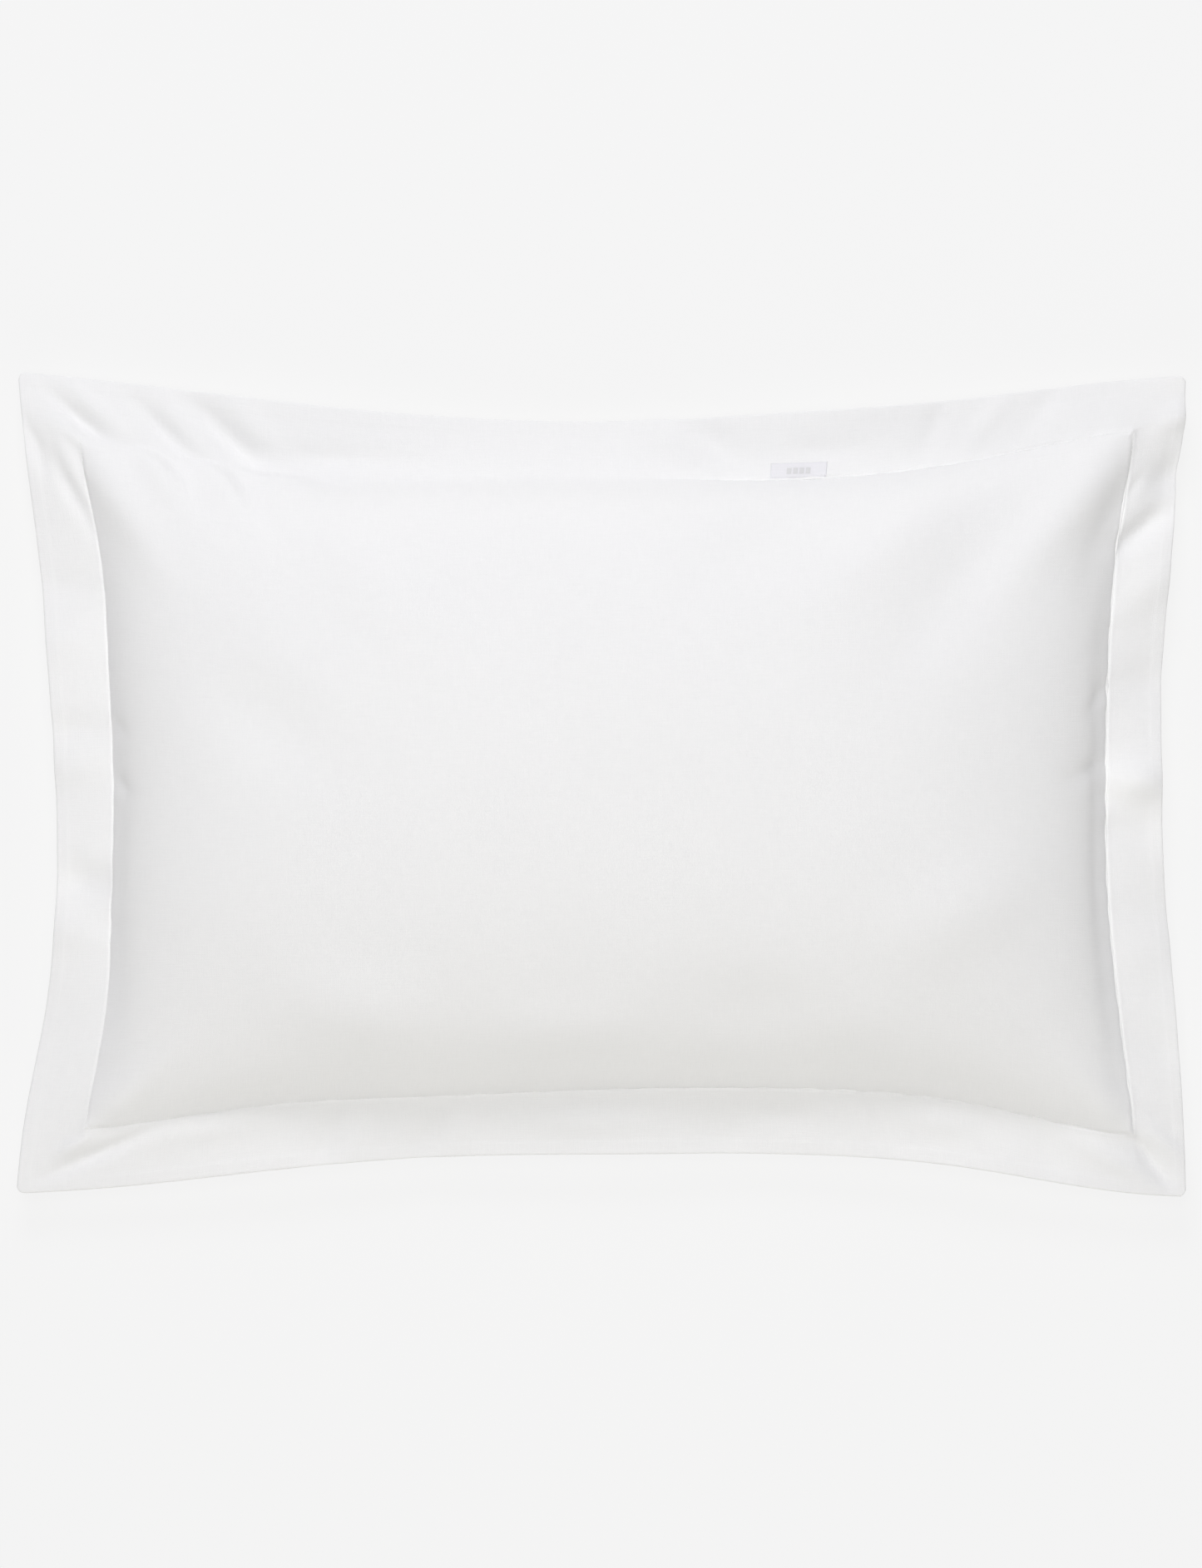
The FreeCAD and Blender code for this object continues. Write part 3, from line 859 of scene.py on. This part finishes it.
def fabric(name, colour, thread, weave, slub, variation, roughness, sheen):
    """Woven cloth: a base colour with slubs and soft unevenness, and a bump of threads and slubs."""
    material, tree, shader, place = new_material(name, roughness, 0.25, sheen)
    warp = scaled_noise(tree, place, (60.0, 1500.0, 1.0), 2.0)
    weft = scaled_noise(tree, place, (1500.0, 70.0, 1.0), 2.0)
    slubs = math_node(tree, "ADD", warp, weft)
    cloudy = scaled_noise(tree, place, (9.0, 9.0, 1.0), 3.0)
    fuzz = scaled_noise(tree, place, (900.0, 900.0, 1.0), 3.0)

    shade = 1.0
    for noise, middle, amount in ((slubs, 1.0, slub), (cloudy, 0.5, variation), (fuzz, 0.5, slub)):
        part = math_node(tree, "MULTIPLY", math_node(tree, "SUBTRACT", noise, middle), amount)
        shade = math_node(tree, "ADD", part, shade)
    mix = tree.nodes.new("ShaderNodeVectorMath")
    mix.operation = "SCALE"
    mix.inputs[0].default_value = colour
    tree.links.new(shade, mix.inputs["Scale"])
    tree.links.new(mix.outputs[0], shader.inputs["Base Color"])

    threads = math_node(tree, "MULTIPLY", weave_height(tree, place, thread), 0.35)
    add_bump(tree, shader, math_node(tree, "ADD", threads, slubs), weave, 0.0002)
    return material


def mottled(name, shades, scale, detail, roughness, sheen, bump):
    """A material that varies between two shades, with a bump (strength, distance) to match."""
    material, tree, shader, place = new_material(name, roughness, 0.5, sheen)
    noise = scaled_noise(tree, place, scale, detail)
    ramp = tree.nodes.new("ShaderNodeValToRGB")
    for element, shade in zip(ramp.color_ramp.elements, shades):
        element.color = (*shade, 1)
    tree.links.new(noise, ramp.inputs["Fac"])
    tree.links.new(ramp.outputs["Color"], shader.inputs["Base Color"])
    add_bump(tree, shader, noise, *bump)
    return material


def thread_material():
    """Sewing thread, with fine flecks along each stitch."""
    shades = ((0.78, 0.78, 0.77), (0.93, 0.93, 0.92))
    return mottled("white_thread", shades, (4200.0, 2600.0, 2600.0), 1.0, 0.55, 0.2, (0.4, 0.0001))


def fibre_material():
    """Fluffy polyester filling."""
    shades = ((0.72, 0.72, 0.73), (0.95, 0.95, 0.95))
    return mottled("fill_fibre", shades, (60.0, 60.0, 60.0), 8.0, 0.95, 0.5, (0.8, 0.004))


# ---------------- the pieces


def wear(piece, material):
    piece.data.materials.append(material)
    return piece


def make_case(front, back, cotton, thread):
    """The case's cloth, hems and stitching. Returns its pieces with the CAD node each stands for."""
    s = graded_lines(HALF_S)
    t = graded_lines(HALF_T)
    back_s = graded_lines(HALF_S, high=OPENING_S)
    flap_s = graded_lines(HALF_S, low=FLAP_END_S)
    pocket_t = np.linspace(-HALF_T + 0.001, HALF_T - 0.001, 70)
    hem_s = np.linspace(OPENING_S - HEM_WIDTH, OPENING_S - 0.0003, 6)
    flap_hem_s = np.linspace(FLAP_END_S, FLAP_END_S + FLAP_HEM_WIDTH, 5)
    pieces = {
        "case_front_panel": cloth_layer("front_panel_cloth", front, s, t, PANEL_LEVELS),
        "case_back_panel": cloth_layer("back_panel_cloth", back, back_s, t, PANEL_LEVELS),
        "case_envelope_flap": cloth_layer("envelope_flap_cloth", back, flap_s, t, FLAP_LEVELS),
        "opening_hem": cloth_layer("opening_hem_cloth", back, hem_s, pocket_t, OPENING_HEM_LEVELS),
        "flap_hem": cloth_layer("flap_hem_cloth", back, flap_hem_s, pocket_t, FLAP_HEM_LEVELS),
        "edge_seam_allowance": seam_allowance(front),
    }
    for piece in pieces.values():
        wear(piece, cotton)

    opening_row = np.array([OPENING_S - HEM_WIDTH + HEM_STITCH_INSET])
    flap_row = np.array([FLAP_END_S + FLAP_HEM_WIDTH - HEM_STITCH_INSET])
    rows = {
        "border_topstitch_front": ("front_stitches", border_runs(front, PANEL_LEVELS[0], SOFT_SINK)),
        "border_topstitch_back": ("back_stitches", border_runs(back, PANEL_LEVELS[0])),
        "opening_hem_stitch": (
            "opening_hem_stitches",
            [line_on(back, opening_row, pocket_t, PANEL_LEVELS[0])],
        ),
        "flap_hem_stitch": (
            "flap_hem_stitches",
            [line_on(back, flap_row, pocket_t, FLAP_HEM_LEVELS[1] - THREAD_RADIUS)],
        ),
        "opening_bar_tacks": ("bar_tack_stitches", bar_tack_runs(back)),
    }
    for node, (name, runs) in rows.items():
        pieces[node] = wear(stitches(name, runs), thread)
    return pieces


def bar_tack_runs(back):
    """Close rows of stitches across each end of the opening."""
    runs = []
    for side in (-1, 1):
        ends = side * np.linspace(HALF_T - 0.014, HALF_T - 0.002, 12)
        for row in range(4):
            place = np.array([OPENING_S - 0.0006 * (row + 1)])
            runs.append(line_on(back, place, np.sort(ends), PANEL_LEVELS[0]))
    return runs


def seam_allowance(front):
    """The turned-in edges inside the flange's rim: one thin band all round."""
    loops = []
    for level in ALLOWANCE_LEVELS:
        for inset in (0.0020, 0.0060, ALLOWANCE):
            run_s = np.linspace(-OUTER_S + inset, OUTER_S - inset, 440)
            run_t = np.linspace(-OUTER_T + inset, OUTER_T - inset, 310)
            sides = [
                line_on(front, run_s[:-1], run_t[:1], level)[0],
                line_on(front, run_s[-1:], run_t[:-1], level)[0],
                line_on(front, run_s[:0:-1], run_t[-1:], level)[0],
                line_on(front, run_s[:1], run_t[:0:-1], level)[0],
            ]
            loops.append(np.concatenate(sides))
    return tube("seam_allowance_cloth", loops[:3] + loops[:2:-1])


def ribbon(name, sheet, s_range, t_range, lift, thickness):
    """A small label lying on a sheet, with its edges turned down."""
    s = np.linspace(*s_range, 41)
    t = np.linspace(*t_range, 17)
    s_grid, t_grid = pairs(s, t)
    edge_s = np.minimum(s_grid - s_range[0], s_range[1] - s_grid)
    edge_t = np.minimum(t_grid - t_range[0], t_range[1] - t_grid)
    edge = np.clip(np.minimum(edge_s, edge_t) / 0.0008, 0, 1)
    crown = np.sqrt(1 - (1 - edge) ** 2)
    wave = 0.00012 * np.sin(s_grid * 310) * np.sin(t_grid * 420)
    upper = sheet_points(sheet, s, t, lift + thickness * crown + wave * crown)
    lower = sheet_points(sheet, s, t, lift - 0.00005)
    return face_outwards(shell(name, upper, lower, s, t))


def label_mark(front, lift):
    """A plain row of short grey bars woven into the label, in place of any lettering."""
    points = []
    faces = []
    for number in range(MARK_BARS):
        left = MARK_S + number * BAR_PITCH
        s = np.linspace(left, left + BAR_LENGTH, 5)
        t = np.linspace(*MARK_T, 4)
        patch = sheet_points(front, s, t, lift)
        index = np.arange(patch.shape[0] * patch.shape[1]).reshape(patch.shape[:2]) + len(points)
        faces += quads(index).tolist()
        points += patch.reshape(-1, 3).tolist()
    return new_piece("woven_label_mark", points, faces, points)


def drawn_in(sheet, centre):
    """The grid of a ticking: the pocket of the case's sheet, drawn in towards the centre.

    The ticking ends at its seam, so the grid beyond that only turns the normals at the edge.
    """
    grid = sheet.points.copy()
    grid[INNER] = centre + (grid[INNER] - centre) * INSERT_SHARES
    grid[INNER][..., 2] -= sheet.facing * INSERT_GAP
    return grid


def ticking_relief(s, t):
    """Shallow waves all over the ticking."""
    return 0.0006 * np.sin(s * 37) * np.sin(t * 41)


def make_insert(front, back, cotton, piping, fibre, thread):
    """The filled pillow inside the case. Returns its pieces and its upper sheet."""
    centre = np.array([0, 0, front.points[INNER][:, 0, 2].mean()])
    upper = Sheet(drawn_in(front, centre), 1, ticking_relief)
    lower = Sheet(drawn_in(back, centre), -1, ticking_relief)
    s = np.linspace(-HALF_S, HALF_S, 110)
    t = np.linspace(-HALF_T, HALF_T, 76)
    closing_row = np.array([-HALF_S + 0.003])
    closing_run = line_on(upper, closing_row, np.linspace(-CLOSING_HALF, CLOSING_HALF, 120), 0.0006)
    pieces = {
        "ticking_top": cloth_layer("ticking_top_cloth", upper, s, t, TICKING_LEVELS),
        "ticking_bottom": cloth_layer("ticking_bottom_cloth", lower, s, t, TICKING_LEVELS),
        "fibre_fill": filling(upper, lower),
        "ticking_piping": piping_tube(upper),
        "ticking_closing_seam": stitches("closing_stitches", [closing_run]),
    }
    wear(pieces["ticking_top"], cotton)
    wear(pieces["ticking_bottom"], cotton)
    wear(pieces["fibre_fill"], fibre)
    wear(pieces["ticking_piping"], piping)
    wear(pieces["ticking_closing_seam"], thread)
    return pieces, upper


def filling(upper, lower):
    """The filling as one closed lumpy mass between the tickings."""
    s = np.linspace(-HALF_S + FILLING_INSET, HALF_S - FILLING_INSET, 96)
    t = np.linspace(-HALF_T + FILLING_INSET, HALF_T - FILLING_INSET, 66)
    s_grid, t_grid = pairs(s, t)
    lumps = 0.0012 * np.sin(s_grid * 90 + 2 * np.sin(t_grid * 60)) * np.sin(t_grid * 110)
    top = sheet_points(upper, s, t, -0.0022 + lumps * 0.5)
    bottom = sheet_points(lower, s, t, -0.0022 + lumps * 0.5)
    return face_outwards(shell("fibre_filling", top, bottom, s, t))


def piping_tube(upper):
    """A round corded edge along the inner pillow's seam."""
    along_s = np.linspace(-HALF_S + 0.004, HALF_S - 0.004, 150)
    along_t = np.linspace(-HALF_T + 0.004, HALF_T - 0.004, 100)
    sides = [
        line_on(upper, along_s, np.array([-HALF_T]), 0.0)[0],
        line_on(upper, np.array([HALF_S]), along_t, 0.0)[0],
        line_on(upper, along_s, np.array([HALF_T]), 0.0)[0][::-1],
        line_on(upper, np.array([-HALF_S]), along_t, 0.0)[0][::-1],
    ]
    loop = np.concatenate(sides)
    ahead = unit(np.roll(loop, -1, 0) - np.roll(loop, 1, 0))
    side = unit(np.cross(ahead, [0, 0, 1.0]))
    up = np.cross(side, ahead)
    centre = loop + side * PIPING_RADIUS
    turns = np.arange(10) * 2 * math.pi / 10
    loops = [centre + PIPING_RADIUS * (math.cos(a) * side + math.sin(a) * up) for a in turns]
    return tube("piping_cord", loops)


def make_labels(front, back, insert_upper, satin):
    """The woven label on the flange, and the care labels of the case and the inner pillow."""
    case_care_s = (FLAP_END_S + 0.012, FLAP_END_S + 0.012 + CARE_LABEL_LENGTH)
    insert_care_s = (-HALF_S + 0.004, -HALF_S + 0.004 + CARE_LABEL_LENGTH)
    woven = ribbon("woven_label_ribbon", front, LABEL_S, LABEL_T, PANEL_LEVELS[0], 0.0004)
    case_care = ribbon("care_label_ribbon", back, case_care_s, CARE_LABEL_T, -0.0018, 0.0002)
    insert_care = ribbon("insert_label_ribbon", insert_upper, insert_care_s, CARE_LABEL_T, 0.0006, 0.0003)
    return [wear(piece, satin) for piece in (woven, case_care, insert_care)]


# ---------------- light, floor and camera


def area_light(name, place, size, power, colour):
    """A round lamp that points at the pillow."""
    data = bpy.data.lights.new(name, "AREA")
    data.shape = "DISK"
    data.size = size
    data.energy = power
    data.color = colour
    light = add_object(name, data)
    light.location = place
    light.rotation_euler = (-Vector(place)).to_track_quat("-Z", "Y").to_euler()


def seen_and_glow(tree, strength, colour, seen, glow, tint):
    """Makes something emit seen to the camera, and glow of a tint to the things around it.

    Returns the socket that holds seen.
    """
    path = tree.nodes.new("ShaderNodeLightPath")
    amount = tree.nodes.new("ShaderNodeMix")
    amount.data_type = "FLOAT"
    amount.inputs["A"].default_value = glow
    amount.inputs["B"].default_value = seen
    hue = tree.nodes.new("ShaderNodeMix")
    hue.data_type = "RGBA"
    hue.inputs["A"].default_value = (*tint, 1)
    hue.inputs["B"].default_value = (1, 1, 1, 1)
    for mix, target in ((amount, strength), (hue, colour)):
        factor = next(socket for socket in mix.inputs if socket.enabled and socket.name == "Factor")
        result = next(socket for socket in mix.outputs if socket.enabled)
        tree.links.new(path.outputs["Is Camera Ray"], factor)
        tree.links.new(result, target)
    return amount.inputs["B"]


def brighten_far_off(tree, strength, near, far):
    """Drives a strength socket: near by the pillow, rising to far where the lamps don't reach."""
    place = tree.nodes.new("ShaderNodeNewGeometry")
    length = tree.nodes.new("ShaderNodeVectorMath")
    length.operation = "LENGTH"
    tree.links.new(place.outputs["Position"], length.inputs[0])
    rise = node_of(tree, "ShaderNodeMapRange", From_Min=0.9, From_Max=4.5, To_Min=near, To_Max=far)
    rise.interpolation_type = "SMOOTHSTEP"
    tree.links.new(length.outputs["Value"], rise.inputs["Value"])
    tree.links.new(rise.outputs["Result"], strength)


def make_floor(seen, far_seen, glow, tint):
    """A pale floor that glows a little, so that shadows on it stay faint."""
    mesh = bpy.data.meshes.new("floor")
    mesh.from_pydata([(-30, -30, 0), (30, -30, 0), (30, 30, 0), (-30, 30, 0)], [], [(0, 1, 2, 3)])
    floor = add_object("floor", mesh)
    material = bpy.data.materials.new("pale_floor")
    material.use_nodes = True
    tree = material.node_tree
    shader = tree.nodes["Principled BSDF"]
    shader.inputs["Base Color"].default_value = (0.12, 0.12, 0.12, 1)
    shader.inputs["Roughness"].default_value = 1.0
    shader.inputs["Specular IOR Level"].default_value = 0.0
    amount = seen_and_glow(
        tree, shader.inputs["Emission Strength"], shader.inputs["Emission Color"], seen, glow, tint
    )
    brighten_far_off(tree, amount, seen, far_seen)
    floor.data.materials.append(material)


def make_world(seen, glow, tint):
    """A backdrop as pale as the floor, which lights the pillow only softly."""
    world = bpy.data.worlds.new("studio")
    world.use_nodes = True
    tree = world.node_tree
    background = tree.nodes["Background"]
    seen_and_glow(tree, background.inputs["Strength"], background.inputs["Color"], seen, glow, tint)
    bpy.context.scene.world = world


def make_camera():
    data = bpy.data.cameras.new("camera")
    data.lens = LENS
    data.sensor_width = SENSOR
    camera = add_object("camera", data)
    camera.location = (0, 0, SEAM_HEIGHT + VIEW_HEIGHT * LENS / SENSOR)
    bpy.context.scene.camera = camera


def make_studio():
    make_camera()
    make_world(seen=0.905, glow=0.31, tint=(0.945, 0.94, 0.985))
    make_floor(seen=0.795, far_seen=0.868, glow=0.86, tint=(1.00, 0.99, 0.95))
    area_light("key", (-0.3, 2.4, 2.2), size=1.2, power=37, colour=(0.955, 0.955, 0.995))
    area_light("front", (0.0, 0.3, 3.6), size=2.2, power=49, colour=(1.00, 0.997, 0.962))
    area_light("low_fill", (0.0, -2.4, 1.2), size=1.4, power=15, colour=(1.00, 0.98, 0.88))
    bpy.context.scene.view_settings.view_transform = "Standard"
    bpy.context.scene.view_settings.look = "None"


# ---------------- putting it together


def settled_sheets():
    """The simulated case's front and back as smooth sheets, lying on the floor."""
    front, back = simulate_case()
    relax(front)
    relax(back)
    front = fit_outline(front)
    back = fit_outline(back)
    wave_flange(front)
    share_flange(front, back)
    down = back[..., 2].min() - PANEL_LEVELS[0]
    front[..., 2] -= down
    back[..., 2] -= down
    return Sheet(front, 1, front_relief, evaluate_front), Sheet(back, -1, back_relief)


front_sheet, back_sheet = settled_sheets()

# Each fabric's colour, thread spacing, weave, slub, variation, roughness and sheen
cotton = fabric("case_cotton", (0.91, 0.91, 0.91), 0.0005, 0.5, 0.050, 0.03, 0.85, 0.15)
ticking = fabric("ticking_cloth", (0.90, 0.90, 0.89), 0.0007, 0.5, 0.10, 0.03, 0.85, 0.1)
piping = fabric("piping_cloth", (0.88, 0.88, 0.875), 0.0007, 0.5, 0.10, 0.03, 0.85, 0.1)
satin = fabric("label_ribbon", (0.85, 0.845, 0.875), 0.0003, 0.4, 0.06, 0.02, 0.45, 0.3)
grey = fabric("label_mark", (0.74, 0.74, 0.75), 0.0003, 0.4, 0.06, 0.02, 0.6, 0.1)
thread = thread_material()
fibre = fibre_material()

case = make_case(front_sheet, back_sheet, cotton, thread)
insert, insert_upper = make_insert(front_sheet, back_sheet, ticking, piping, fibre, thread)
labels = make_labels(front_sheet, back_sheet, insert_upper, satin)
case["woven_label"], case["case_care_label"], insert["insert_care_label"] = labels
mark = wear(label_mark(front_sheet, PANEL_LEVELS[0] + 0.0006), grey)

for body, pieces in (("case", case), ("insert", insert)):
    for node, piece in pieces.items():
        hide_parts(node)
        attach(piece, body)
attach(mark, "case")
for piece in [*case.values(), mark]:
    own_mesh(piece)

make_studio()
